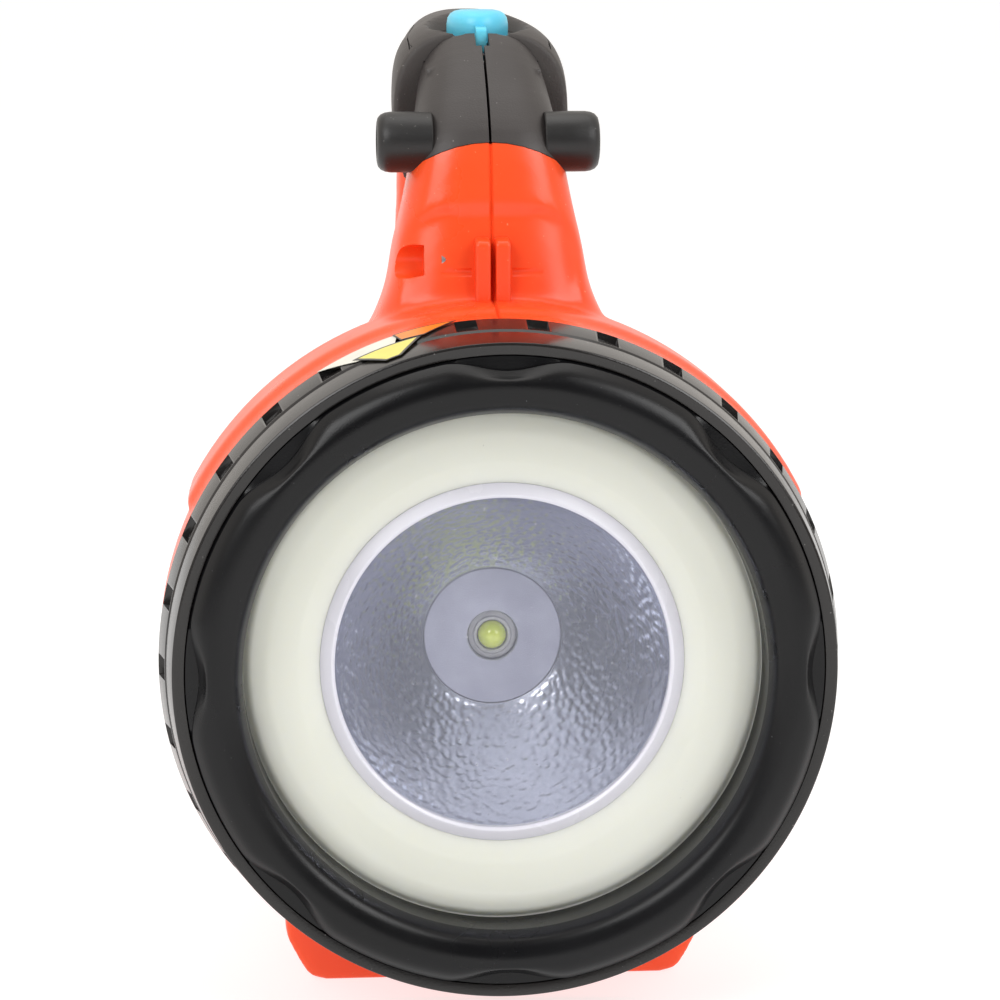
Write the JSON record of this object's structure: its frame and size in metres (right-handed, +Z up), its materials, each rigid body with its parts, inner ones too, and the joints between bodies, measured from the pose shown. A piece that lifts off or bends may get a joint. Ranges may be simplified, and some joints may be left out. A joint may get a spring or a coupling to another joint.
{
  "type": "firefighter flashlight",
  "caption": "Hand lamp with a round scalloped head, ring diffuser, two-shell body on a flat foot and a loop handle with a push button.",
  "frame": {"origin": "bottom centre: middle of the lamp's overall length and width, on the surface that its foot stands on", "axes": "+Z up, the lamp shines along -Y, +X to the right as seen from in front of the lamp"},
  "size_m": [0.1256, 0.19, 0.1834],
  "materials": {
    "bezel_rubber": "fine satin",
    "ring_plastic": "glossy",
    "label_film": "plain film, no print",
    "milky_plastic": "translucent, glossy",
    "collar_plastic": "satin",
    "clear_glass": "clear",
    "seal_rubber": "matt",
    "reflector_metal": "dimpled, vacuum metallised",
    "satin_aluminium": "satin",
    "led_base": "smooth",
    "led_yellow": "smooth",
    "inner_plastic": "moulded",
    "board_green": "solder mask",
    "chip_black": "moulded",
    "brass_parts": "turned",
    "steel_parts": "plated",
    "red_shell": "glossy moulded ABS",
    "grip_plastic": "satin",
    "grip_rubber": "soft, satin",
    "cyan_button": "satin silicone",
    "cell_wrap": "heat-shrink film",
    "lead_black": "insulation"
  },
  "bodies": {
    "lamp": {"reflector": "reflector_metal", "reflector_disc": "satin_aluminium", "led_emitter": "led_base", "led_dome": "led_yellow", "star_board": "satin_aluminium", "heat_sink": "satin_aluminium", "light_chassis": "inner_plastic", "ring_board": "board_green", "ring_leds": "led_yellow", "bulkhead": "inner_plastic", "standoffs": "brass_parts", "head_gasket": "seal_rubber", "housing_left": "red_shell", "housing_right": "red_shell", "grip_left": "grip_plastic", "grip_right": "grip_plastic", "grip_sleeve": "grip_rubber", "switch_module": "inner_plastic", "button_spring": "steel_parts", "strap_peg_left": "grip_plastic", "strap_peg_right": "grip_plastic", "battery_cells": "cell_wrap", "cell_frames": "inner_plastic", "battery_tray": "inner_plastic", "control_board": "board_green", "board_parts": "chip_black", "charge_contacts": "brass_parts", "rear_window": "clear_glass", "housing_screws": "steel_parts", "switch_lead": "lead_black", "lamp_lead": "lead_black"},
    "optic_stack": {"ring_diffuser": "milky_plastic", "inner_collar": "collar_plastic", "lens_disc": "clear_glass", "lens_seal": "seal_rubber"},
    "bezel": {"front_bezel": "bezel_rubber", "head_ring": "ring_plastic", "blank_label": "label_film"},
    "button": {"power_button": "cyan_button"}
  },
  "joints": [
    {"name": "button_press", "type": "slide", "parent": "lamp", "child": "button", "axis": [0, 0, -1], "range_m": [0, 0.0025], "stiffness_N_per_m": 800, "springref_m": -0.001, "deforming": ["button_spring"]},
    {"name": "optic_lift", "type": "slide", "parent": "lamp", "child": "optic_stack", "axis": [0, -1, 0], "range_m": [0, 0.00301]},
    {"name": "bezel_unscrew", "type": "hinge", "parent": "optic_stack", "child": "bezel", "pos_m": [0, -0.0824, 0.066], "axis": [0, -1, 0], "range_deg": [0, 540]}
  ],
  "couplings": [
    {"joint": "optic_lift", "follows": "bezel_unscrew", "m_per_rad": 0.00031831}
  ]
}
